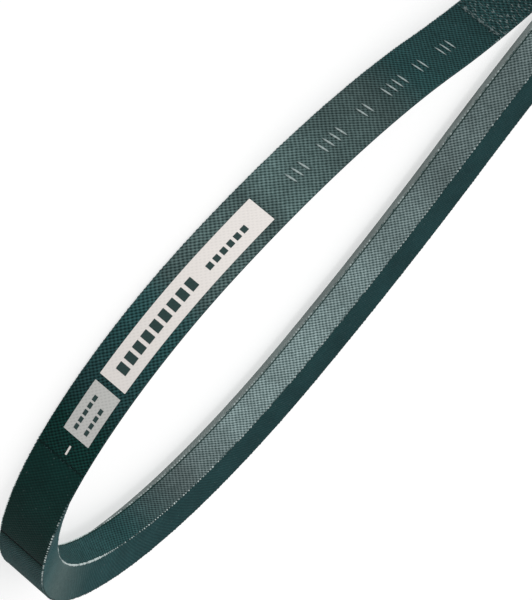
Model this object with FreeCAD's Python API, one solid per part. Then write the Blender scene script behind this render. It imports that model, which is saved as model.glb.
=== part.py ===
import FreeCAD, Part
import math
import os

# Wrapped classical V-belt, section B (17 x 11 mm), lying on its edge.
# +Z is across the belt's width, and the loop lies in the XY plane. The origin is at the
# middle of the loop's box, on the surface that the belt lies on. Millimetres, degrees.
# A place in the section is (out, across): "out" is measured outwards from the datum line,
# where the cords run, and "across" from the belt's mid plane. A place along the belt is a
# "station", measured along the datum line from the start of the near side.

# --- belt section -------------------------------------------------------------------
DATUM_LENGTH = 1240.0        # length of the datum line all the way round
BASE_DEPTH = 6.366           # datum line down to the base, so the inside length is 1200
TOP_WIDTH = 17.0             # widest, across the back
DATUM_WIDTH = 14.0           # width where the cords run
HEIGHT = 11.0                # from the base to the back
FLANK_ANGLE = 20.0           # each flank to the belt's mid plane, half of the wedge
BASE_CORNER_RADIUS = 0.8     # rounding where the jacket turns from flank to base

# --- layers, from the outside in ----------------------------------------------------
OUTER_JACKET = 0.55          # thickness of the outer fabric ply
INNER_JACKET = 0.45          # thickness of the inner fabric ply
ADHESION_ABOVE = 1.0         # adhesion rubber above the middle of the cords
ADHESION_BELOW = 1.0         # adhesion rubber below the middle of the cords
CORD_DIAMETER = 1.0          # tension cord
CORD_TURNS = 9               # turns of cord side by side
CORD_EDGE_MARGIN = 0.25      # rubber between the outermost cord and the inner jacket

# --- the loop as it lies, slightly waisted: eight tangent arcs -------------------------
# A negative turn is a hollow arc. The radii of the near side, the far hollow and the end
# bend follow from the datum length and from the loop closing, and so does the end bend's turn.
START_HEADING = -56.5        # outward direction at station 0, from +X
NEAR_SIDE_TURN = -71.0
NEAR_SHOULDER_TURN = 35.0
NEAR_SHOULDER_RADIUS = 158.0
NEAR_BEND_TURN = 167.0
NEAR_BEND_RADIUS = 85.0
FAR_SHOULDER_TURN = 25.0
FAR_SHOULDER_RADIUS = 106.0
FAR_SIDE_TURN = 15.0
FAR_SIDE_RADIUS = 330.0
FAR_HOLLOW_TURN = -48.0
END_SHOULDER_TURN = 33.0
END_SHOULDER_RADIUS = 115.0

# --- jacket seams and printed transfers, by station ----------------------------------
PATCH_SEAM = 203.0           # where the coarse length of jacket ends
LABEL_SEAM = 391.5           # seam beside the tick mark
BEND_SEAM = 434.0            # seam at the start of the bend
PRINT_THICKNESS = 0.08       # printed transfer, proud of the back
PRINT_ACROSS = 0.75          # middle of the prints, towards +Z from the mid plane
LARGE_LABEL = (304.1, 364.7)
SMALL_LABEL = (366.8, 383.3)
LABEL_WIDTH = 9.1
TICK = (386.4, 389.5)
TICK_WIDTH = 0.55

# --- worked out from the sizes above --------------------------------------------------
BACK_RISE = HEIGHT - BASE_DEPTH
SLOPE = math.tan(math.radians(FLANK_ANGLE))
SLANT = 1 / math.cos(math.radians(FLANK_ANGLE))
JACKET = OUTER_JACKET + INNER_JACKET
Z_AXIS = FreeCAD.Vector(0, 0, 1)


def outward(angle):
    """Unit vector in the loop's plane, at an angle in degrees from +X."""
    turn = math.radians(angle)
    return FreeCAD.Vector(math.cos(turn), math.sin(turn), 0)


# --- the loop -------------------------------------------------------------------------

def closing_radii(arcs):
    """Radii of the three arcs given as None that close the loop at its datum length."""
    columns = []
    angle = START_HEADING
    for turn, _ in arcs:
        step = outward(angle + turn) - outward(angle)
        columns.append(step + Z_AXIS * math.radians(turn))
        angle += turn
    target = Z_AXIS * DATUM_LENGTH
    for column, (_, radius) in zip(columns, arcs):
        if radius is not None:
            target -= column * radius
    near, far, back = [column for column, (_, radius) in zip(columns, arcs) if radius is None]
    volume = near.dot(far.cross(back))
    return [target.dot(far.cross(back)) / volume,
            near.dot(target.cross(back)) / volume,
            near.dot(far.cross(target)) / volume]


def make_loop():
    """The datum line as arcs of (centre, radius, first heading, turn), hollow ones negative."""
    turned = (NEAR_SIDE_TURN + NEAR_SHOULDER_TURN + NEAR_BEND_TURN + FAR_SHOULDER_TURN
              + FAR_SIDE_TURN + FAR_HOLLOW_TURN + END_SHOULDER_TURN)
    arcs = [(NEAR_SIDE_TURN, None),
            (NEAR_SHOULDER_TURN, NEAR_SHOULDER_RADIUS),
            (NEAR_BEND_TURN, NEAR_BEND_RADIUS),
            (FAR_SHOULDER_TURN, FAR_SHOULDER_RADIUS),
            (FAR_SIDE_TURN, FAR_SIDE_RADIUS),
            (FAR_HOLLOW_TURN, None),
            (360 - turned, None),
            (END_SHOULDER_TURN, END_SHOULDER_RADIUS)]
    closing = iter(closing_radii(arcs))
    loop = []
    point = FreeCAD.Vector(0, 0, 0)
    heading = START_HEADING
    for turn, given in arcs:
        radius = next(closing) if given is None else given
        centre = point - outward(heading) * radius
        loop.append((centre, radius, heading, turn))
        heading += turn
        point = centre + outward(heading) * radius
    return loop


def stretch(loop, start, end):
    """The arcs of the loop between two stations; end may run on past the last arc."""
    pieces = []
    station = 0.0
    for centre, radius, heading, turn in loop + loop:
        length = math.radians(turn) * radius
        first = max(start - station, 0)
        last = min(end - station, length)
        if last > first:
            begin = heading + math.degrees(first / radius)
            pieces.append((centre, radius, begin, math.degrees((last - first) / radius)))
        station += length
    return pieces


# --- sections ---------------------------------------------------------------------------

def flank(out, inset=0.0):
    """Half width of the wedge at a height, with the surface moved in by inset."""
    return DATUM_WIDTH / 2 + out * SLOPE - inset * SLANT


def half_outline(low, high, inset=0.0):
    """Corners of one half of the wedge between two heights, from the base up."""
    edge = TOP_WIDTH / 2 - inset
    corners = [(low, min(flank(low, inset), edge))]
    if flank(low, inset) < edge < flank(high, inset):
        shoulder = (edge + inset * SLANT - DATUM_WIDTH / 2) / SLOPE
        corners.append((shoulder, edge))
    corners.append((high, min(flank(high, inset), edge)))
    return corners


def outline(low, high, inset=0.0):
    """Closed outline of the wedge between two heights, as (out, across) corners."""
    half = half_outline(low, high, inset)
    return half + [(out, -across) for out, across in reversed(half)]


def face_at(radius, corners):
    """A flat face in the XZ plane, with the datum line at x = radius."""
    points = [FreeCAD.Vector(radius + out, 0, across) for out, across in corners]
    return Part.Face(Part.makePolygon(points + points[:1]))


def rounded_wedge(radius, inset, corner):
    """The wedge section with its two base corners rounded."""
    low = inset - BASE_DEPTH
    face = face_at(radius, outline(low, BACK_RISE - inset, inset))
    if corner <= 0:
        return face
    # the rounding touches the base and the flank, so its middle lies a radius from both
    middle = FreeCAD.Vector(radius + low + corner, 0, flank(low + corner, inset + corner))
    for side in (1, -1):
        centre = FreeCAD.Vector(middle.x, 0, side * middle.z)
        disc = circle_face(centre, corner)
        tangent = centre + FreeCAD.Vector(-SLOPE / SLANT, 0, side / SLANT) * corner
        square = Part.Face(Part.makePolygon([
            centre,
            centre - FreeCAD.Vector(corner, 0, 0),
            FreeCAD.Vector(radius + low, 0, side * flank(low, inset)),
            tangent,
            centre]))
        face = face.cut(square.cut(disc))
    return face.Faces[0]


def circle_face(centre, radius):
    """A disc in the XZ plane."""
    ring = Part.makeCircle(radius, centre, FreeCAD.Vector(0, 1, 0))
    return Part.Face(Part.Wire(ring))


# --- sweeping a section round the loop ------------------------------------------------------

def sweep(arcs, section):
    """One solid: the section, a function of the arc's radius, revolved along each arc."""
    parts = []
    for centre, radius, heading, turn in arcs:
        part = section(radius).revolve(FreeCAD.Vector(0, 0, 0), Z_AXIS, abs(turn))
        part.rotate(FreeCAD.Vector(0, 0, 0), Z_AXIS, heading + min(turn, 0))
        part.translate(centre)
        parts.append(part.Solids[0] if part.Solids else part)
    if len(parts) == 1:
        return parts[0]
    return parts[0].multiFuse(parts[1:]).Solids[0]


def jacket_section(inset, thickness):
    """A fabric ply that wraps the whole section."""
    def section(radius):
        outer = rounded_wedge(radius, inset, BASE_CORNER_RADIUS - inset)
        inner = rounded_wedge(radius, inset + thickness, BASE_CORNER_RADIUS - inset - thickness)
        return outer.cut(inner).Faces[0]
    return section


def cord_places():
    """Middle of each turn of cord across the belt, on the datum line."""
    reach = flank(0, JACKET) - CORD_EDGE_MARGIN - CORD_DIAMETER / 2
    step = 2 * reach / (CORD_TURNS - 1)
    return [step * turn - reach for turn in range(CORD_TURNS)]


def adhesion_section(low, high):
    """Rubber on one side of the cords, with a half round groove for each turn."""
    def section(radius):
        face = face_at(radius, outline(low, high, JACKET))
        grooves = [circle_face(FreeCAD.Vector(radius, 0, place), CORD_DIAMETER / 2)
                   for place in cord_places()]
        return face.cut(grooves).Faces[0]
    return section


def cord_section(place):
    """One turn of the tension cord."""
    return lambda radius: circle_face(FreeCAD.Vector(radius, 0, place), CORD_DIAMETER / 2)


def compression_section(radius):
    """The wedge of rubber below the cords."""
    wedge = rounded_wedge(radius, JACKET, BASE_CORNER_RADIUS - JACKET)
    above = face_at(radius, [(-ADHESION_BELOW, TOP_WIDTH), (HEIGHT, TOP_WIDTH),
                             (HEIGHT, -TOP_WIDTH), (-ADHESION_BELOW, -TOP_WIDTH)])
    return wedge.cut(above).Faces[0]


def tension_section(radius):
    """The rubber between the cords and the back."""
    return face_at(radius, outline(ADHESION_ABOVE, BACK_RISE - JACKET, JACKET))


def print_section(width):
    """A printed transfer on the back."""
    low = PRINT_ACROSS - width / 2
    high = PRINT_ACROSS + width / 2
    top = BACK_RISE + PRINT_THICKNESS
    corners = [(BACK_RISE, low), (top, low), (top, high), (BACK_RISE, high)]
    return lambda radius: face_at(radius, corners)


# --- the pieces -----------------------------------------------------------------------------

def make_jacket(loop):
    """Outer jacket in its three lengths, and the ply under it."""
    outer = jacket_section(0.0, OUTER_JACKET)
    rear_end = DATUM_LENGTH + PATCH_SEAM
    return {
        "outer_jacket_front": sweep(stretch(loop, PATCH_SEAM, LABEL_SEAM), outer),
        "outer_jacket_bend": sweep(stretch(loop, LABEL_SEAM, BEND_SEAM), outer),
        "outer_jacket_rear": sweep(stretch(loop, BEND_SEAM, rear_end), outer),
        "inner_jacket_ply": sweep(loop, jacket_section(OUTER_JACKET, INNER_JACKET)),
    }


def make_core(loop):
    """Rubber inside the jacket."""
    return {
        "tension_rubber": sweep(loop, tension_section),
        "adhesion_rubber_upper": sweep(loop, adhesion_section(0.0, ADHESION_ABOVE)),
        "adhesion_rubber_lower": sweep(loop, adhesion_section(-ADHESION_BELOW, 0.0)),
        "compression_rubber": sweep(loop, compression_section),
    }


def make_cords(loop):
    """The turns of tension cord, side by side on the datum line."""
    return {"tension_cord_%02d" % (turn + 1): sweep(loop, cord_section(place))
            for turn, place in enumerate(cord_places())}


def make_prints(loop):
    """Blank labels and the tick mark on the back."""
    return {
        "label_large": sweep(stretch(loop, *LARGE_LABEL), print_section(LABEL_WIDTH)),
        "label_small": sweep(stretch(loop, *SMALL_LABEL), print_section(LABEL_WIDTH)),
        "tick_mark": sweep(stretch(loop, *TICK), print_section(TICK_WIDTH)),
    }


def main():
    loop = make_loop()
    skin = {**make_jacket(loop), **make_prints(loop)}
    box = Part.makeCompound(list(skin.values())).optimalBoundingBox(False, False)
    to_origin = FreeCAD.Vector(-box.Center.x, -box.Center.y, -box.ZMin)
    pieces = {**skin, **make_core(loop), **make_cords(loop)}
    os.makedirs("parts", exist_ok=True)
    for name, shape in pieces.items():
        shape.translate(to_origin)
        shape.exportStep("parts/%s.step" % name)
        print(name, "valid" if shape.isValid() else "NOT VALID", round(shape.Volume, 1))
    for centre, radius, heading, turn in loop:
        print("arc radius %.1f turn %.1f length %.1f" % (radius, turn, math.radians(turn) * radius))


main()
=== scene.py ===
"""Looks of a wrapped classical V-belt, section B, lying on its edge.

The jacket's cloth, the threads along its corners, the seams and the labels are made flat, with
x the station along the belt, y across it and z outwards from the cords, all in millimetres.
Each piece is then bent onto the belt's loop.
"""
import math
import random

import bmesh
import bpy
from mathutils import Matrix, Vector


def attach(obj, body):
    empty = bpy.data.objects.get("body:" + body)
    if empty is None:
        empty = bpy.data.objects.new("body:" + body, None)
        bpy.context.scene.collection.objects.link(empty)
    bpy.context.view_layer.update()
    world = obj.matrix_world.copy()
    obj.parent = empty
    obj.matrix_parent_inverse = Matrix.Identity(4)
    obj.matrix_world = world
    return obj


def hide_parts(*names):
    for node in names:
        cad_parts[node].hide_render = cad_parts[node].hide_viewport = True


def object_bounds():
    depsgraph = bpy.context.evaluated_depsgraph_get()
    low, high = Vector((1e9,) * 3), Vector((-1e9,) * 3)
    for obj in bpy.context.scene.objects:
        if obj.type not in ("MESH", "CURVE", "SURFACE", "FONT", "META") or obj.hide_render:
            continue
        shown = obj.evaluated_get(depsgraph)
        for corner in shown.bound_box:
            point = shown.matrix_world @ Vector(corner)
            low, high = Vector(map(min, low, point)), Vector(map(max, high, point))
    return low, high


bl_info = {
    "name": "Wrapped V-belt",
    "version": (1, 0, 0),
    "blender": (4, 5, 0),
    "location": "View3D > Sidebar > Belt",
    "description": "Cloth jacket, corner threads, seams, labels and studio for a wrapped V-belt",
    "category": "Object",
}

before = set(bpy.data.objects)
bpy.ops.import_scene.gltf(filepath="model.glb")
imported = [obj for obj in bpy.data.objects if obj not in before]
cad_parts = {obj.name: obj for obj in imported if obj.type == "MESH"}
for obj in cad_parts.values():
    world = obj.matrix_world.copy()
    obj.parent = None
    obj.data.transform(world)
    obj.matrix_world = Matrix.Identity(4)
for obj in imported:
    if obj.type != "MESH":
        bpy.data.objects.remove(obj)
CAD_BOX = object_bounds()
MM = 0.001
Z_AXIS = Vector((0, 0, 1))
PLACE = "belt_place"             # attribute that keeps each point's flat place, in millimetres

# --- belt section, in millimetres and degrees, as in the CAD part -------------------------
DATUM_LENGTH = 1240.0
BASE_DEPTH = 6.366
TOP_WIDTH = 17.0
DATUM_WIDTH = 14.0
HEIGHT = 11.0
FLANK_ANGLE = 20.0
BASE_CORNER_RADIUS = 0.8
BACK_CORNER_RADIUS = 0.4
OUTER_JACKET = 0.55
BACK_RISE = HEIGHT - BASE_DEPTH
SLOPE = math.tan(math.radians(FLANK_ANGLE))
SHOULDER_RISE = (TOP_WIDTH - DATUM_WIDTH) / 2 / SLOPE

# --- the loop as it lies: eight tangent arcs of (turn, radius) ----------------------------
# The radii given as None close the loop at its datum length. A negative turn is a hollow arc.
START_HEADING = -56.5
ARCS = [(-71.0, None), (35.0, 158.0), (167.0, 85.0), (25.0, 106.0),
        (15.0, 330.0), (-48.0, None), (204.0, None), (33.0, 115.0)]
NEAR_BEND = 2                    # place of the near bend in ARCS

# --- seams and labels, by station ---------------------------------------------------------
PATCH_SEAM = 203.0
LABEL_SEAM = 391.5
BEND_SEAM = 434.0
PATCH_LENGTH = 55.0              # coarse cloth before the patch seam
PRINT_ACROSS = 0.75
LABEL_WIDTH = 9.1
LARGE_LABEL = (304.1, 364.7)
SMALL_LABEL = (366.8, 383.3)
TICK = (386.4, 389.5)
TICK_WIDTH = 0.55
BASE_CHAIN = (462.0, 514.0)      # where the threads of the base's corners are rubbed the most
# plain bars on the labels: (first station, count, length, gap, place across, width)
LARGE_BARS = ((361.0, 9, 2.4, 1.1, 0.0, 3.5), (326.0, 6, 1.8, 0.9, 0.4, 1.9))
SMALL_BARS = ((381.0, 4, 1.7, 0.7, 1.9, 1.2), (381.4, 5, 1.7, 0.7, -1.6, 1.2))
# moulded strokes on the back: (first station, count)
TALLY = ((292.0, 3), (279.0, 4), (262.0, 2), (251.0, 4), (236.0, 2), (224.0, 3))
STROKE_STEP = 2.6
STROKE_ACROSS = 0.4
STROKE_LEAN = 8                  # degrees
STROKE_SIZE = (0.42, 2.7, 0.3)   # half sizes along, across and out
KNUCKLE_SIZE = (0.46, 0.3, 0.3)  # half sizes of a thread knuckle
CHAIN_GROWTH = 1.35              # how much larger the knuckles of the base's chain are
PRINT_RISE = 0.08
BAR_RISE = 0.11

# --- faces as the finishes see them: where each change starts and ends, in millimetres ----
BASE_FACE = (-6.3, -6.05)        # height, base to flank
BASE_CORNER = (-5.9, -5.6)       # height, base corner to flank
BACK_FACE = (4.1, 4.5)           # height, flank to back
FLANK_SKIN = (0.1, 0.35)         # depth below the flank
LOWER_RIM_HIGHLIGHT = (-4.75, -4.4)        # place across, painted highlight along the rim of the lower base corner
LOWER_CREASE_SHADE = (-4.3, -3.9)      # place across, painted shade in the crease inside that rim
PATCH_START = DATUM_LENGTH + PATCH_SEAM - PATCH_LENGTH

# --- painted shade between the weave's threads and painted sheen on their tops, as shares of the cloth's colour, and the colour of the painted shade along a seam ---
SHADE_BETWEEN_THREADS = (0.12, 0.2, 0.2)
SHEEN_ON_THREADS = (2.3, 2.1, 2.1)
SEAM_SHADE = (0.002, 0.005, 0.005)

# --- studio, with both places measured from the middle of the near bend -------------------
KEY_PLACE = (-1.5, -1.0, 0.32)                   # metres
KEY_SIZE = 0.35                                  # metres
CAMERA_PLACE = (43.88, -888.27, 205.17)          # millimetres
CAMERA_TURN = (-70.522, -48.558, 174.425)        # degrees
CAMERA_LENS = 188.244
CAMERA_SENSOR = 36.0

# --- tones along the belt, partly the cloth's own panels and partly painted light and shade: (station, colour setting, share of that colour) ---
TONE_SPAN = 1500.0
BACK_TONES_AND_PAINTED_LIGHT = ((204, "bend_cloth", 0.75), (240, "bend_cloth", 0.95), (255, "cloth", 0.6),
              (270, "cloth", 0.8), (285, "cloth", 1.15), (299.4, "cloth", 1.35),
              (300, "cloth", 0.7), (306, "cloth", 0.85), (313, "cloth", 1.15),
              (322, "cloth", 1.05), (333, "cloth", 0.85), (342, "bend_cloth", 1.45),
              (350, "bend_cloth", 1.2), (360, "bend_cloth", 1.0), (370, "bend_cloth", 0.75),
              (380, "dark_panel", 1.1), (433.8, "dark_panel", 0.7), (434.2, "bend_cloth", 0.75),
              (560, "bend_cloth", 1.1), (800, "bend_cloth", 1.1), (1384, "bend_cloth", 1.0),
              (1390, "bend_cloth", 0.65))
BASE_TONES_AND_PAINTED_LIGHT = ((300, "base", 0.8), (440, "bend_cloth", 1.0), (530, "bend_cloth", 1.15),
              (560, "base", 0.52), (590, "base", 1.2), (610, "base", 1.3), (650, "base", 1.25),
              (695, "base", 0.8), (730, "base", 0.75), (1300, "base", 0.8))
FLANK_TONES_AND_PAINTED_LIGHT = ((380, "flank", 1.0), (440, "flank", 1.5), (470, "cloth", 1.25),
               (500, "flank", 1.1), (560, "flank", 0.9), (1300, "flank", 1.0))


# --- the loop -----------------------------------------------------------------------------

def outward(angle):
    """Unit vector in the loop's plane, at an angle in degrees from +X."""
    turn = math.radians(angle)
    return Vector((math.cos(turn), math.sin(turn), 0))


def closing_radii():
    """Radii of the arcs given as None."""
    columns = []
    angle = START_HEADING
    for turn, _ in ARCS:
        columns.append(outward(angle + turn) - outward(angle) + Z_AXIS * math.radians(turn))
        angle += turn
    target = Z_AXIS * DATUM_LENGTH
    for column, (_, radius) in zip(columns, ARCS):
        if radius is not None:
            target -= column * radius
    free = [column for column, (_, radius) in zip(columns, ARCS) if radius is None]
    return list(Matrix(free).transposed().inverted() @ target)


def make_loop():
    """The datum line as arcs of (first station, centre, radius, heading), about the origin."""
    closing = iter(closing_radii())
    loop = []
    point = Vector((0, 0, 0))
    heading = START_HEADING
    station = 0.0
    skin = []
    for turn, given in ARCS:
        radius = next(closing) if given is None else given
        centre = point - outward(heading) * radius
        loop.append((station, centre, radius, heading))
        steps = math.ceil(abs(turn))
        skin += [centre + outward(heading + turn * step / steps) * (radius + BACK_RISE)
                 for step in range(steps)]
        heading += turn
        station += math.radians(turn) * radius
        point = centre + outward(heading) * radius
    middle = Vector((max(p.x for p in skin) + min(p.x for p in skin),
                     max(p.y for p in skin) + min(p.y for p in skin), 0)) / 2
    cad_middle = (CAD_BOX[0] + CAD_BOX[1]) / 2 / MM
    shift = Vector((cad_middle.x, cad_middle.y, TOP_WIDTH / 2)) - middle
    return [(station, centre + shift, radius, heading) for station, centre, radius, heading in loop]


LOOP = make_loop()


def on_loop(place):
    """The point of the loop, in metres, for a flat place (station, across, out)."""
    station = place.x % DATUM_LENGTH
    first, centre, radius, heading = [arc for arc in LOOP if arc[0] <= station][-1]
    normal = outward(heading + math.degrees((station - first) / radius))
    return (centre + normal * (radius + place.z) + Z_AXIS * place.y) * MM


def near_bend_middle():
    """The middle of the near bend, on the datum line, in metres."""
    turn, _ = ARCS[NEAR_BEND]
    _, centre, radius, heading = LOOP[NEAR_BEND]
    return (centre + outward(heading + turn / 2) * radius) * MM


# --- building blocks ----------------------------------------------------------------------

def lay(name, bm, material):
    """Bends a flat piece onto the loop and hands it to the frame."""
    kept = bm.verts.layers.float_vector.new(PLACE)
    for vert in bm.verts:
        vert[kept] = vert.co
        vert.co = on_loop(vert.co)
    for face in bm.faces:
        face.smooth = True
    bm.normal_update()
    mesh = bpy.data.meshes.new(name)
    bm.to_mesh(mesh)
    bm.free()
    mesh.materials.append(material)
    piece = bpy.data.objects.new(name, mesh)
    bpy.context.collection.objects.link(piece)
    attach(piece, "root")
    return piece


def half_width(out):
    """Half width of the wedge at a height above the cords."""
    return DATUM_WIDTH / 2 + out * SLOPE


def section_ring(bm, station):
    """The rounded outline of the belt's section, as a ring of edges at a station."""
    base = half_width(-BASE_DEPTH)
    edge = TOP_WIDTH / 2
    support = 1.1                # from a corner to the points that hold its face flat
    base_cut = 0.7 * BASE_CORNER_RADIUS
    shoulder_cut = 0.1
    corners = [(-base, -BASE_DEPTH, base_cut), (base, -BASE_DEPTH, base_cut),
               (edge, SHOULDER_RISE, shoulder_cut), (edge, BACK_RISE, BACK_CORNER_RADIUS),
               (-edge, BACK_RISE, BACK_CORNER_RADIUS), (-edge, SHOULDER_RISE, shoulder_cut)]
    points = []
    for (across, out, _), (next_across, next_out, _) in zip(corners, corners[1:] + corners[:1]):
        here = Vector((station, across, out))
        there = Vector((station, next_across, next_out))
        points.append(here)
        if (there - here).length > 2 * support:
            step = (there - here).normalized() * support
            points += [here + step, there - step]
    bm.faces.new([bm.verts.new(point) for point in points])
    for across, out, cut in corners:
        corner = Vector((station, across, out))
        sharp = [vert for vert in bm.verts if (vert.co - corner).length < 1e-4]
        bmesh.ops.bevel(bm, geom=sharp, offset=cut, segments=4, affect="VERTICES",
                        profile=0.5, material=-1)
    bmesh.ops.delete(bm, geom=bm.faces[:], context="FACES_ONLY")
    return bm.edges[:]


def steps_between(start, end, pitch):
    """Even steps from start to end, each about one pitch long."""
    count = max(1, round((end - start) / pitch))
    return [start + (end - start) * step / count for step in range(1, count + 1)]


# --- shader helpers -----------------------------------------------------------------------

def put(tree, kind, output=0, settings=None, **inputs):
    """Adds a node, fills or links its inputs by name, and returns one of its outputs."""
    node = tree.nodes.new("ShaderNode" + kind)
    for key, value in (settings or {}).items():
        setattr(node, key, value)
    for key, value in inputs.items():
        wire(tree, node.inputs[key.replace("_", " ")], value)
    return node.outputs[output]


def wire(tree, socket, value):
    """Links a socket to an output, or sets it to a plain value."""
    if isinstance(value, bpy.types.NodeSocket):
        tree.links.new(value, socket)
    else:
        socket.default_value = value


def maths(tree, operation, *values):
    """A Math node of the given operation."""
    node = tree.nodes.new("ShaderNodeMath")
    node.operation = operation
    for socket, value in zip(node.inputs, values):
        wire(tree, socket, value)
    return node.outputs[0]


def rising(tree, value, low, high):
    """0 where the value is under low, 1 over high, and smooth between."""
    return put(tree, "MapRange", settings={"interpolation_type": "SMOOTHSTEP"},
               Value=value, From_Min=low, From_Max=high)


def inverse(tree, value):
    """One less the value."""
    return maths(tree, "SUBTRACT", 1.0, value)


def product(tree, first, *others):
    """The values multiplied together."""
    for other in others:
        first = maths(tree, "MULTIPLY", first, other)
    return first


def within(tree, value, low, high, soft):
    """1 where the value lies between low and high."""
    return product(tree, rising(tree, value, low - soft, low + soft),
                   inverse(tree, rising(tree, value, high - soft, high + soft)))


def mixed(tree, factor, first, second, blend="MIX"):
    """A colour mix; plain colours may be given as three numbers."""
    node = tree.nodes.new("ShaderNodeMix")
    node.data_type = "RGBA"
    node.blend_type = blend
    wire(tree, node.inputs[0], factor)
    for socket, value in ((node.inputs[6], first), (node.inputs[7], second)):
        wire(tree, socket, value if isinstance(value, bpy.types.NodeSocket) else (*value, 1.0))
    return node.outputs[2]


def new_group(name, inputs, outputs):
    """A shader node group with number sockets, and its inner input and output nodes."""
    group = bpy.data.node_groups.new(name, "ShaderNodeTree")
    for socket in inputs:
        group.interface.new_socket(socket, in_out="INPUT", socket_type="NodeSocketFloat")
    for socket in outputs:
        group.interface.new_socket(socket, in_out="OUTPUT", socket_type="NodeSocketFloat")
    return group, group.nodes.new("NodeGroupInput"), group.nodes.new("NodeGroupOutput")


def use_group(tree, name, **inputs):
    """Places a node group in a material and returns its outputs by name."""
    node = tree.nodes.new("ShaderNodeGroup")
    node.node_tree = bpy.data.node_groups[name]
    for key, value in inputs.items():
        wire(tree, node.inputs[key], value)
    return node.outputs


def new_material(name, specular=0.3):
    """A new material's node tree and its Principled shader."""
    material = bpy.data.materials.new(name)
    material.use_nodes = True
    tree = material.node_tree
    shader = tree.nodes["Principled BSDF"]
    shader.inputs["Specular IOR Level"].default_value = specular
    return tree, shader


def finish_surface(tree, shader, colour, roughness, normal):
    """Links what changes over a surface to its shader."""
    tree.links.new(colour, shader.inputs["Base Color"])
    tree.links.new(roughness, shader.inputs["Roughness"])
    tree.links.new(normal, shader.inputs["Normal"])


def flat_place(tree):
    """Along, across and out, in millimetres, from the piece's own attribute."""
    attribute = tree.nodes.new("ShaderNodeAttribute")
    attribute.attribute_name = PLACE
    split = tree.nodes.new("ShaderNodeSeparateXYZ")
    tree.links.new(attribute.outputs["Vector"], split.inputs[0])
    return tuple(split.outputs)


def tones(tree, along, stops):
    """A colour that changes along the belt, from stops of (station, colour setting, share)."""
    looks = bpy.context.scene.belt_looks
    node = tree.nodes.new("ShaderNodeValToRGB")
    wire(tree, node.inputs[0], maths(tree, "DIVIDE", along, TONE_SPAN))
    elements = node.color_ramp.elements
    elements.remove(elements[1])
    for place, (station, setting, share) in enumerate(stops):
        element = elements.new(station / TONE_SPAN) if place else elements[0]
        element.position = station / TONE_SPAN
        element.color = (*(share * channel for channel in getattr(looks, setting)), 1)
    return node.outputs[0]


def bump(tree, height, depth):
    """A bump of a depth in millimetres."""
    return put(tree, "Bump", Height=height, Distance=depth * MM)


# --- shared effects -----------------------------------------------------------------------

def make_weave_group():
    """Two families of threads crossing on the bias, from a place in millimetres."""
    group, given, made = new_group("bias_weave", ("Along", "Across", "Pitch"), ("Height", "Gaps"))
    along, across, pitch = given.outputs["Along"], given.outputs["Across"], given.outputs["Pitch"]
    where = put(group, "CombineXYZ", X=along, Y=across)
    stray = put(group, "TexNoise", Vector=where, Scale=0.35, Detail=3.0)
    sway = product(group, maths(group, "SUBTRACT", stray, 0.5), 0.5)
    turns = []
    for length, slant in ((1.0, 0.90), (1.2, -0.60)):
        wave = maths(group, "DIVIDE", along, product(group, pitch, length))
        lean = product(group, across, slant)
        phase = maths(group, "ADD", maths(group, "ADD", wave, lean), sway)
        turns.append(maths(group, "COSINE", product(group, phase, 2 * math.pi)))
    first = maths(group, "MULTIPLY_ADD", turns[0], 0.5, 0.5)
    second = maths(group, "MULTIPLY_ADD", turns[1], 0.5, 0.5)
    even = maths(group, "ADD", product(group, first, 0.6), product(group, second, 0.4))
    worn = put(group, "TexNoise", Vector=where, Scale=0.55, Detail=4.0, Roughness=0.65)
    height = product(group, even, maths(group, "MULTIPLY_ADD", worn, 1.6, 0.2))
    group.links.new(height, made.inputs["Height"])
    group.links.new(inverse(group, rising(group, height, 0.1, 0.55)), made.inputs["Gaps"])


def make_wear_group():
    """Cloudy rubbing and fine dust specks, from a place in millimetres."""
    group, given, made = new_group("rub_and_dust", ("Along", "Across", "Out"),
                                   ("Clouds", "Specks", "Grain"))
    where = put(group, "CombineXYZ", X=given.outputs["Along"], Y=given.outputs["Across"],
                Z=given.outputs["Out"])
    clouds = put(group, "TexNoise", Vector=where, Scale=0.07, Detail=4.0, Roughness=0.6)
    specks = put(group, "TexNoise", Vector=where, Scale=1.1, Detail=2.0)
    grain = put(group, "TexNoise", Vector=where, Scale=4.0, Detail=2.0)
    group.links.new(clouds, made.inputs["Clouds"])
    group.links.new(rising(group, specks, 0.68, 0.76), made.inputs["Specks"])
    group.links.new(grain, made.inputs["Grain"])


# --- finishes -----------------------------------------------------------------------------

def belt_faces(tree, across, out):
    """Masks of the belt's base and of its flanks."""
    depth = maths(tree, "SUBTRACT", maths(tree, "MULTIPLY_ADD", out, SLOPE, DATUM_WIDTH / 2),
                  maths(tree, "ABSOLUTE", across))
    on_base = inverse(tree, rising(tree, out, *BASE_FACE))
    off_back = inverse(tree, rising(tree, out, *BACK_FACE))
    on_flank = product(tree, inverse(tree, rising(tree, depth, *FLANK_SKIN)),
                       product(tree, off_back, inverse(tree, on_base)))
    return on_base, on_flank


def jacket_tones_and_painted_light(tree, along, across, on_base, on_flank):
    """The cloth's colour on the back, the base and the flanks, partly its own panels and partly
    painted light and shade.
    """
    # the lower flank is painted light and the upper flank painted shade: one cloth, lit and shaded
    # by its colour
    lower = tuple(bpy.context.scene.belt_looks.lower_flank_painted_light)
    flank = mixed(tree, rising(tree, across, -1.0, 1.0), lower, tones(tree, along, FLANK_TONES_AND_PAINTED_LIGHT))
    ground = mixed(tree, on_flank, tones(tree, along, BACK_TONES_AND_PAINTED_LIGHT), flank)
    return mixed(tree, on_base, ground, tones(tree, along, BASE_TONES_AND_PAINTED_LIGHT))


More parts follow.
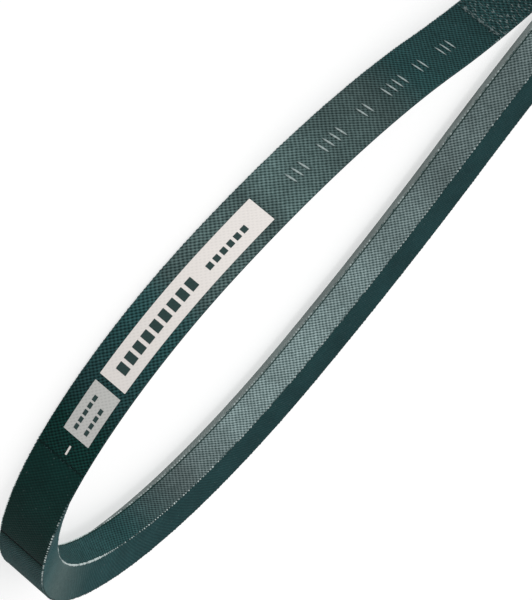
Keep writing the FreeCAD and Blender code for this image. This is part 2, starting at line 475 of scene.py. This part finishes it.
def lower_base_corner(tree, colour, across, out):
    """A painted highlight along the lower base corner's rim, with painted shade in the crease
    inside it.
    """
    looks = bpy.context.scene.belt_looks
    near_base = inverse(tree, rising(tree, out, *BASE_CORNER))
    # painted highlight on the rim and painted shade in the crease
    rim_highlight = product(tree, within(tree, across, *LOWER_RIM_HIGHLIGHT, 0.08), near_base)
    crease_shade = product(tree, within(tree, across, *LOWER_CREASE_SHADE, 0.1), near_base, 0.85)
    colour = mixed(tree, rim_highlight, colour, tuple(looks.rim_highlight))
    return mixed(tree, crease_shade, colour, tuple(looks.dark_panel))


def seam_shade_lines(tree, colour, along, on_flank):
    """Dark lines of painted shade where the jacket's lengths meet, faint on the flanks."""
    off_flank = maths(tree, "MULTIPLY_ADD", on_flank, -0.85, 1.0)
    for seam, strength in ((LABEL_SEAM, 0.4), (BEND_SEAM, 1.0)):
        # painted shade along each seam's lap step
        line = product(tree, within(tree, along, seam - 0.45, seam + 0.45, 0.15), strength)
        colour = mixed(tree, product(tree, line, off_flank), colour, SEAM_SHADE)
    return colour


def jacket_cloth():
    """Rubberised bias cloth: light and dark panels, coarse patch, paler base, rubbed flanks, with
    painted light and shade in the tones, the weave, the seams, the strokes and the lower base
    corner.
    """
    looks = bpy.context.scene.belt_looks
    thread = tuple(looks.thread)
    tree, shader = new_material("jacket_cloth", specular=0.05)
    along, across, out = flat_place(tree)
    wear = use_group(tree, "rub_and_dust", Along=along, Across=across, Out=out)
    on_base, on_flank = belt_faces(tree, across, out)
    on_patch = rising(tree, along, PATCH_START - 6, PATCH_START)
    smooth_panel = product(tree, within(tree, along, LABEL_SEAM, BEND_SEAM, 2.0), 0.7)
    smooth_cloth = maths(tree, "MAXIMUM", product(tree, on_flank, 0.7), smooth_panel)

    # the threads slant one way on the back and the other way on the base
    turned = product(tree, across, maths(tree, "MULTIPLY_ADD", on_base, -2.0, 1.0))
    slid = maths(tree, "ADD", turned, product(tree, out, on_flank))
    fine = use_group(tree, "bias_weave", Along=along, Across=slid, Pitch=looks.thread_pitch)
    coarse = use_group(tree, "bias_weave", Along=along, Across=product(tree, slid, 0.8),
                       Pitch=1.15 * looks.thread_pitch)
    coarser = maths(tree, "SUBTRACT", coarse["Height"], fine["Height"])
    height = maths(tree, "ADD", fine["Height"], product(tree, coarser, on_patch))
    relief = inverse(tree, product(tree, smooth_cloth, 0.8))

    ground = jacket_tones_and_painted_light(tree, along, across, on_base, on_flank)
    # painted shade in the gaps between the threads and painted sheen on their tops
    dark = mixed(tree, 1.0, ground, SHADE_BETWEEN_THREADS, "MULTIPLY")
    light = mixed(tree, 1.0, ground, SHEEN_ON_THREADS, "MULTIPLY")
    colour = mixed(tree, relief, ground, mixed(tree, height, dark, light))
    shade = maths(tree, "MULTIPLY_ADD", wear["Clouds"], 0.8, 0.6)
    grey = put(tree, "CombineColor", Red=shade, Green=shade, Blue=shade)
    colour = mixed(tree, 1.0, colour, grey, "MULTIPLY")
    colour = mixed(tree, product(tree, wear["Specks"], 0.08), colour, thread)

    # the patch's fuzz, and a painted highlight on the tops of the moulded strokes
    fleck_place = put(tree, "CombineXYZ", X=product(tree, turned, 0.5), Y=along)
    fleck_noise = put(tree, "TexNoise", Vector=fleck_place, Scale=1.6, Detail=2.0)
    flecks = product(tree, rising(tree, fleck_noise, 0.56, 0.68), on_patch, 0.22)
    colour = mixed(tree, flecks, colour, thread)
    stroke_top_highlight = product(tree, rising(tree, out, BACK_RISE + 0.12, BACK_RISE + 0.3), 0.6)
    colour = mixed(tree, stroke_top_highlight, colour, thread)

    colour = lower_base_corner(tree, colour, across, out)
    colour = seam_shade_lines(tree, colour, along, on_flank)
    body = maths(tree, "ADD", product(tree, height, relief), product(tree, wear["Grain"], 0.25))
    finish_surface(tree, shader, colour, maths(tree, "MULTIPLY_ADD", wear["Grain"], 0.25, 0.58),
                   bump(tree, body, 0.3))


def thread_finish():
    """Bare thread knuckles, paler than the cloth where the rubber has rubbed off."""
    tree, shader = new_material("corner_thread", specular=0.25)
    along, across, out = flat_place(tree)
    wear = use_group(tree, "rub_and_dust", Along=along, Across=across, Out=out)
    where = put(tree, "CombineXYZ", X=along, Y=across, Z=out)
    patchy = rising(tree, put(tree, "TexNoise", Vector=where, Scale=0.5, Detail=2.0), 0.36, 0.6)
    base_corner = inverse(tree, rising(tree, out, -4.0, 0.0))
    back_bend = within(tree, along, BEND_SEAM - 24.0, BEND_SEAM + 12.0, 10.0)
    base_bend = product(tree, within(tree, along, BEND_SEAM + 10.0, 590.0, 25.0), base_corner)
    bend = maths(tree, "MAXIMUM", back_bend, base_bend)
    chain = product(tree, within(tree, along, *BASE_CHAIN, 10.0), base_corner)
    patchy = maths(tree, "MAXIMUM", patchy, chain)
    frayed = within(tree, along, PATCH_SEAM - 4.0, PATCH_SEAM + 3.0, 1.0)
    rubbed = maths(tree, "MAXIMUM", product(tree, base_corner, 0.75), product(tree, frayed, 0.28))
    bare = product(tree, patchy, maths(tree, "MAXIMUM", bend, rubbed))
    thread = tuple(bpy.context.scene.belt_looks.thread)
    # the threads' ground takes the flank tones, with their painted light and shade
    colour = mixed(tree, bare, tones(tree, along, FLANK_TONES_AND_PAINTED_LIGHT), thread)
    finish_surface(tree, shader, colour, maths(tree, "MULTIPLY_ADD", wear["Grain"], 0.3, 0.4),
                   bump(tree, wear["Grain"], 0.05))


def print_finish(name, colour, dirt):
    """A matt printed transfer that lets the cloth's weave show faintly."""
    pitch = bpy.context.scene.belt_looks.thread_pitch
    tree, shader = new_material(name)
    along, across, out = flat_place(tree)
    wear = use_group(tree, "rub_and_dust", Along=along, Across=across, Out=out)
    weave = use_group(tree, "bias_weave", Along=along, Across=across, Pitch=pitch)
    soiled = maths(tree, "ADD", product(tree, weave["Gaps"], dirt),
                   product(tree, wear["Grain"], dirt))
    grey = tuple(0.55 * channel for channel in colour)
    finish_surface(tree, shader, mixed(tree, soiled, colour, grey),
                   maths(tree, "MULTIPLY_ADD", wear["Grain"], 0.2, 0.5),
                   bump(tree, weave["Height"], 0.03))


def rubber_finish(name, colour):
    """Matt rubber with a fine grain, for the layers inside the jacket."""
    tree, shader = new_material(name)
    where = put(tree, "TexCoord", output="Object")
    grain = put(tree, "TexNoise", Vector=where, Scale=900.0, Detail=4.0)
    dark = tuple(0.6 * channel for channel in colour)
    finish_surface(tree, shader, mixed(tree, grain, dark, colour),
                   maths(tree, "MULTIPLY_ADD", grain, 0.2, 0.7), bump(tree, grain, 0.05))


def cord_finish(name, colour):
    """Twisted and dipped polyester cord."""
    tree, shader = new_material(name)
    where = put(tree, "TexCoord", output="Object")
    twist = put(tree, "TexWave", output="Fac", settings={"bands_direction": "DIAGONAL"},
                Vector=where, Scale=700.0, Distortion=0.4)
    dark = tuple(0.55 * channel for channel in colour)
    finish_surface(tree, shader, mixed(tree, twist, dark, colour),
                   maths(tree, "MULTIPLY_ADD", twist, 0.2, 0.6), bump(tree, twist, 0.08))


# --- pieces -------------------------------------------------------------------------------

def jacket_length(node, start, end, rims):
    """One length of the jacket's cloth; rims gives how far each end turns in or stands out."""
    bm = bmesh.new()
    ring = section_ring(bm, start)
    lip = 1.2                    # how far from an end its turned rim reaches
    tip = 0.3
    stations = [start + tip, start + lip]
    stations += steps_between(start + lip, end - lip, 2.4)
    stations += [end - tip, end]
    here = start
    for station in stations:
        grown = bmesh.ops.extrude_edge_only(bm, edges=ring)["geom"]
        verts = [item for item in grown if isinstance(item, bmesh.types.BMVert)]
        ring = [item for item in grown if isinstance(item, bmesh.types.BMEdge)
                and all(vert in verts for vert in item.verts)]
        bmesh.ops.translate(bm, verts=verts, vec=(station - here, 0, 0))
        here = station
    for vert in bm.verts:
        for place, rise in ((start, rims[0]), (end, rims[1])):
            share = max(0.0, 1 - abs(vert.co.x - place) / lip) ** 2
            vert.co.y *= 1 + share * rise / (TOP_WIDTH / 2)
            vert.co.z *= 1 + share * rise / (HEIGHT / 2)
    # the tube is open at both ends, so the highest face is asked which way it looks
    bmesh.ops.recalc_face_normals(bm, faces=bm.faces[:])
    bm.normal_update()
    highest = max(bm.faces, key=lambda face: face.calc_center_median().z)
    if highest.normal.z < 0:
        bmesh.ops.reverse_faces(bm, faces=bm.faces[:])
    piece = lay(node + "_cloth", bm, bpy.data.materials["jacket_cloth"])
    wall = piece.modifiers.new("wall", "SOLIDIFY")
    wall.thickness = 0.9 * OUTER_JACKET * MM
    wall.offset = -1
    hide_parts(node)


def corner_threads(name, across, out, seed):
    """Thread knuckles that stand a little out of one corner of the belt, all the way round."""
    looks = bpy.context.scene.belt_looks
    chance = random.Random(seed)
    count = round(DATUM_LENGTH / looks.thread_pitch)
    pitch = DATUM_LENGTH / count
    bm = bmesh.new()
    shape = Matrix.Translation((0, across, out)) @ Matrix.Diagonal((*KNUCKLE_SIZE, 1))
    bmesh.ops.create_icosphere(bm, subdivisions=1, radius=1.0, matrix=shape)
    per_knuckle = len(bm.verts)
    bmesh.ops.spin(bm, geom=bm.faces[:], cent=(0, 0, 0), axis=(1, 0, 0), dvec=(pitch, 0, 0),
                   angle=0, steps=count - 1, use_duplicate=True)
    bm.verts.ensure_lookup_table()
    for first in range(0, len(bm.verts), per_knuckle):
        knuckle = bm.verts[first:first + per_knuckle]
        middle = sum((vert.co for vert in knuckle), Vector()) / per_knuckle
        size = chance.uniform(0.65, 1.12)
        if out < 0 and BASE_CHAIN[0] < middle.x < BASE_CHAIN[1]:
            size *= CHAIN_GROWTH
        slide = Vector((chance.uniform(-0.15, 0.15), 0, 0))
        for vert in knuckle:
            vert.co = middle + slide + (vert.co - middle) * size
    lay(name, bm, bpy.data.materials["corner_thread"])


def thread_ends(name, station, count, longest, seed):
    """Loose ends of thread that stand out of a seam across the back."""
    chance = random.Random(seed)
    bm = bmesh.new()
    for _ in range(count):
        length = chance.uniform(0.35, 1.0) * longest
        across = chance.uniform(-0.38, 0.38) * TOP_WIDTH
        lean = chance.uniform(-50, 50)
        lift = chance.uniform(0, 16)
        place = (Matrix.Translation((station, across, BACK_RISE + 0.02))
                 @ Matrix.Rotation(math.radians(lean), 4, "Z")
                 @ Matrix.Rotation(-math.radians(lift), 4, "Y")
                 @ Matrix.Translation((length / 2, 0, 0))
                 @ Matrix.Rotation(math.pi / 2, 4, "Y"))
        bmesh.ops.create_cone(bm, cap_ends=True, segments=6, radius1=0.11, radius2=0.05,
                              depth=length, matrix=place)
    lay(name, bm, bpy.data.materials["corner_thread"])


def flat_print(name, stretch, middle, width, rise, corner, material):
    """A thin printed patch on the back, with its corners slightly rounded."""
    start, end = stretch
    bm = bmesh.new()
    sunk = 0.05
    shape = (Matrix.Translation(((start + end) / 2, middle, BACK_RISE - sunk))
             @ Matrix.Diagonal((end - start, width, 1, 1)))
    bmesh.ops.create_grid(bm, x_segments=1, y_segments=1, size=0.5)
    bmesh.ops.transform(bm, verts=bm.verts[:], matrix=shape)
    bmesh.ops.bevel(bm, geom=bm.verts[:], offset=corner, segments=3, affect="VERTICES",
                    profile=0.5, material=-1)
    grown = bmesh.ops.extrude_face_region(bm, geom=bm.faces[:])["geom"]
    top = [item for item in grown if isinstance(item, bmesh.types.BMVert)]
    bmesh.ops.translate(bm, verts=top, vec=(0, 0, rise + sunk))
    for station in steps_between(start, end, 1.5)[:-1]:
        bmesh.ops.bisect_plane(bm, geom=bm.verts[:] + bm.edges[:] + bm.faces[:],
                               plane_co=(station, 0, 0), plane_no=(1, 0, 0))
    bmesh.ops.recalc_face_normals(bm, faces=bm.faces[:])
    piece = lay(name, bm, material)
    for face in piece.data.polygons:
        face.use_smooth = False
    return piece


# --- settings -----------------------------------------------------------------------------

def colour_setting(name, description, default):
    """A colour that a user may change."""
    return bpy.props.FloatVectorProperty(name=name, description=description, default=default,
                                         subtype="COLOR", size=3, min=0, max=1)


class BeltLooks(bpy.types.PropertyGroup):
    """Colours and thread sizes of the jacket and the prints"""
    thread_pitch: bpy.props.FloatProperty(
        name="Thread pitch", description="Millimetres from thread to thread along the belt",
        default=1.29, min=0.5, max=4)
    cloth: colour_setting("Cloth", "Woven back of the belt", (0.055, 0.092, 0.090))
    # Dark panel: also the painted shade in the lower base corner's crease
    dark_panel: colour_setting("Dark panel", "Darker cloth round the labels",
                               (0.0025, 0.0225, 0.019))
    bend_cloth: colour_setting("Bend cloth", "Cloth at the near bend", (0.0135, 0.046, 0.047))
    # the upper flank's dark colour is painted shade and the lower flank's light colour painted
    # light, on one rubbed cloth
    flank: colour_setting("Flank", "Rubbed cloth on the upper flank", (0.014, 0.050, 0.053))
    lower_flank_painted_light: colour_setting("Lower flank", "Rubbed cloth on the lower flank",
                                (0.155, 0.19, 0.185))
    # Rim: a painted highlight along the lower base corner's rim
    rim_highlight: colour_setting("Rim", "Rubbed rim of the lower base corner", (0.24, 0.29, 0.28))
    base: colour_setting("Base", "Paler cloth on the inside of the loop", (0.130, 0.185, 0.185))
    # Bare thread: also the painted highlight on the tops of the moulded strokes
    thread: colour_setting("Bare thread", "Thread where the rubber has rubbed off",
                           (0.52, 0.60, 0.59))
    white_print: colour_setting("White print", "Large label and tick", (0.76, 0.72, 0.69))
    grey_print: colour_setting("Grey print", "Small label", (0.54, 0.54, 0.52))
    dark_print: colour_setting("Dark print", "Bars on the labels", (0.012, 0.04, 0.038))


class StudioLooks(bpy.types.PropertyGroup):
    """Floor and light of the studio"""
    floor: colour_setting("Floor", "Colour of the floor", (0.5, 0.5, 0.5))
    glow: bpy.props.FloatProperty(
        name="Glow", description="How much the floor glows, as a light table does",
        default=0.6, min=0)
    surround: bpy.props.FloatProperty(
        name="Surround", description="Strength of the even light from all round",
        default=0.8, min=0)
    key_power: bpy.props.FloatProperty(
        name="Key light", description="Power of the key light",
        default=9.0, min=0, unit="POWER")


# --- operators ----------------------------------------------------------------------------

class BELT_OT_finishes(bpy.types.Operator):
    """Make the finishes that the pieces share"""
    bl_idname = "belt.finishes"
    bl_label = "Finishes"

    def execute(self, context):
        looks = context.scene.belt_looks
        make_weave_group()
        make_wear_group()
        jacket_cloth()
        thread_finish()
        print_finish("white_print", tuple(looks.white_print), 0.16)
        print_finish("grey_print", tuple(looks.grey_print), 0.3)
        print_finish("dark_print", tuple(looks.dark_print), 0.3)
        return {"FINISHED"}


class BELT_OT_jacket(bpy.types.Operator):
    """Make the three lengths of the outer jacket"""
    bl_idname = "belt.jacket"
    bl_label = "Outer jacket"

    def execute(self, context):
        jacket_length("outer_jacket_front", PATCH_SEAM, LABEL_SEAM, (-0.1, -0.05))
        jacket_length("outer_jacket_bend", LABEL_SEAM, BEND_SEAM, (-0.05, -0.2))
        jacket_length("outer_jacket_rear", BEND_SEAM, DATUM_LENGTH + PATCH_SEAM, (-0.2, 0.06))
        return {"FINISHED"}


class BELT_OT_corner_threads(bpy.types.Operator):
    """Make the thread knuckles along the four corners"""
    bl_idname = "belt.corner_threads"
    bl_label = "Corner threads"

    def execute(self, context):
        back = (TOP_WIDTH / 2 - 0.2, BACK_RISE - 0.17)
        base = (half_width(-BASE_DEPTH) - 0.15, -BASE_DEPTH + 0.2)
        for place, (across, out) in (("back", back), ("base", base)):
            for side, sign, seed in (("upper", 1, 3), ("lower", -1, 8)):
                corner_threads("%s_%s_threads" % (place, side), sign * across, out, seed)
        return {"FINISHED"}


class BELT_OT_seam_threads(bpy.types.Operator):
    """Make the loose thread ends at the seams"""
    bl_idname = "belt.seam_threads"
    bl_label = "Seam threads"

    def execute(self, context):
        thread_ends("patch_seam_threads", PATCH_SEAM - 1.2, 46, 2.4, 21)
        thread_ends("label_seam_threads", LABEL_SEAM, 12, 0.8, 22)
        return {"FINISHED"}


class BELT_OT_labels(bpy.types.Operator):
    """Make the labels and the tick mark, with plain bars in place of print"""
    bl_idname = "belt.labels"
    bl_label = "Labels"

    def execute(self, context):
        white = bpy.data.materials["white_print"]
        grey = bpy.data.materials["grey_print"]
        for node, stretch, width, material, slot in (
                ("label_large", LARGE_LABEL, LABEL_WIDTH, white, "label_white"),
                ("label_small", SMALL_LABEL, LABEL_WIDTH, grey, "label_grey"),
                ("tick_mark", TICK, TICK_WIDTH, white, "label_white")):
            piece = flat_print(node + "_print", stretch, PRINT_ACROSS, width, PRINT_RISE, 0.12,
                               material)
            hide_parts(node)
        dark = bpy.data.materials["dark_print"]
        for label, rows in (("large", LARGE_BARS), ("small", SMALL_BARS)):
            for row, (first, count, length, gap, aside, width) in enumerate(rows):
                for number in range(count):
                    end = first - number * (length + gap)
                    name = "%s_label_bar_%d_%d" % (label, row + 1, number + 1)
                    flat_print(name, (end - length, end), PRINT_ACROSS + aside, width, BAR_RISE,
                               0.1, dark)
        return {"FINISHED"}


class BELT_OT_tally(bpy.types.Operator):
    """Make the moulded tally strokes on the back"""
    bl_idname = "belt.tally"
    bl_label = "Moulded strokes"

    def execute(self, context):
        cloth = bpy.data.materials["jacket_cloth"]
        for group, (start, count) in enumerate(TALLY):
            bm = bmesh.new()
            for stroke in range(count):
                station = start - STROKE_STEP * stroke
                shape = (Matrix.Translation((station, STROKE_ACROSS, BACK_RISE))
                         @ Matrix.Rotation(math.radians(STROKE_LEAN), 4, "Z")
                         @ Matrix.Diagonal((*STROKE_SIZE, 1)))
                bmesh.ops.create_uvsphere(bm, u_segments=12, v_segments=8, radius=1.0,
                                          matrix=shape)
            lay("moulded_strokes_%d" % (group + 1), bm, cloth)
        return {"FINISHED"}


class BELT_OT_inner_layers(bpy.types.Operator):
    """Give the layers inside the jacket their finishes"""
    bl_idname = "belt.inner_layers"
    bl_label = "Inner layers"

    def execute(self, context):
        for start, material, finish, colour in (
                ("inner_jacket", "inner_cloth", rubber_finish, (0.025, 0.05, 0.05)),
                ("tension_rubber", "tension_rubber", rubber_finish, (0.02, 0.02, 0.022)),
                ("adhesion_rubber", "adhesion_rubber", rubber_finish, (0.045, 0.04, 0.036)),
                ("compression_rubber", "compression_rubber", rubber_finish,
                 (0.018, 0.018, 0.02)),
                ("tension_cord", "polyester_cord", cord_finish, (0.75, 0.72, 0.62))):
            finish(material, colour)
            for name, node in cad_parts.items():
                if name.startswith(start):
                    node.data.materials.clear()
                    node.data.materials.append(bpy.data.materials[material])
        return {"FINISHED"}


def area_light(name, place, aim, size, power):
    """A square soft light at a place, aimed at a point."""
    data = bpy.data.lights.new(name, "AREA")
    data.size = size
    data.energy = power
    light = bpy.data.objects.new(name, data)
    light.location = place
    light.rotation_euler = (aim - place).to_track_quat("-Z", "Y").to_euler()
    bpy.context.collection.objects.link(light)


class BELT_OT_stage(bpy.types.Operator):
    """Make the pale floor, the studio light and the camera"""
    bl_idname = "belt.stage"
    bl_label = "Stage"

    def execute(self, context):
        studio = context.scene.belt_studio
        bm = bmesh.new()
        bmesh.ops.create_grid(bm, x_segments=1, y_segments=1, size=6.0)
        mesh = bpy.data.meshes.new("floor")
        bm.to_mesh(mesh)
        bm.free()
        floor = bpy.data.objects.new("floor", mesh)
        floor.location = (0, 0, -0.0002)
        context.collection.objects.link(floor)
        _, shader = new_material("floor", specular=0.1)
        shader.inputs["Roughness"].default_value = 0.9
        shader.inputs["Base Color"].default_value = (*studio.floor, 1)
        shader.inputs["Emission Color"].default_value = (1, 1, 1, 1)
        shader.inputs["Emission Strength"].default_value = studio.glow
        mesh.materials.append(bpy.data.materials["floor"])

        world = bpy.data.worlds.new("studio")
        world.use_nodes = True
        background = world.node_tree.nodes["Background"]
        background.inputs["Color"].default_value = (1, 1, 1, 1)
        background.inputs["Strength"].default_value = studio.surround
        context.scene.world = world

        middle = near_bend_middle()
        area_light("key", middle + Vector(KEY_PLACE), Vector((0, 0, 0.01)), KEY_SIZE,
                   studio.key_power)

        camera = bpy.data.cameras.new("camera")
        camera.lens = CAMERA_LENS
        camera.sensor_width = CAMERA_SENSOR
        camera.clip_start = 0.01
        camera.clip_end = 50
        eye = bpy.data.objects.new("camera", camera)
        eye.location = middle + Vector(CAMERA_PLACE) * MM
        eye.rotation_euler = [math.radians(angle) for angle in CAMERA_TURN]
        context.collection.objects.link(eye)
        context.scene.camera = eye
        context.scene.view_settings.view_transform = "Standard"
        return {"FINISHED"}


class BELT_PT_panel(bpy.types.Panel):
    """Lists the steps that make the belt's looks"""
    bl_label = "Wrapped V-belt"
    bl_idname = "BELT_PT_panel"
    bl_space_type = "VIEW_3D"
    bl_region_type = "UI"
    bl_category = "Belt"

    def draw(self, context):
        for step in STEPS:
            self.layout.operator(step.bl_idname)
        for group in (context.scene.belt_looks, context.scene.belt_studio):
            for setting in group.__annotations__:
                self.layout.prop(group, setting)


STEPS = (BELT_OT_stage, BELT_OT_finishes, BELT_OT_jacket, BELT_OT_corner_threads,
         BELT_OT_seam_threads, BELT_OT_labels, BELT_OT_tally, BELT_OT_inner_layers)
CLASSES = (BeltLooks, StudioLooks, *STEPS, BELT_PT_panel)


def register():
    for cls in CLASSES:
        bpy.utils.register_class(cls)
    bpy.types.Scene.belt_looks = bpy.props.PointerProperty(type=BeltLooks)
    bpy.types.Scene.belt_studio = bpy.props.PointerProperty(type=StudioLooks)


def unregister():
    del bpy.types.Scene.belt_studio
    del bpy.types.Scene.belt_looks
    for cls in reversed(CLASSES):
        bpy.utils.unregister_class(cls)


def main():
    register()
    for step in STEPS:
        category, name = step.bl_idname.split(".")
        getattr(getattr(bpy.ops, category), name)()


if __name__ == "__main__":
    main()
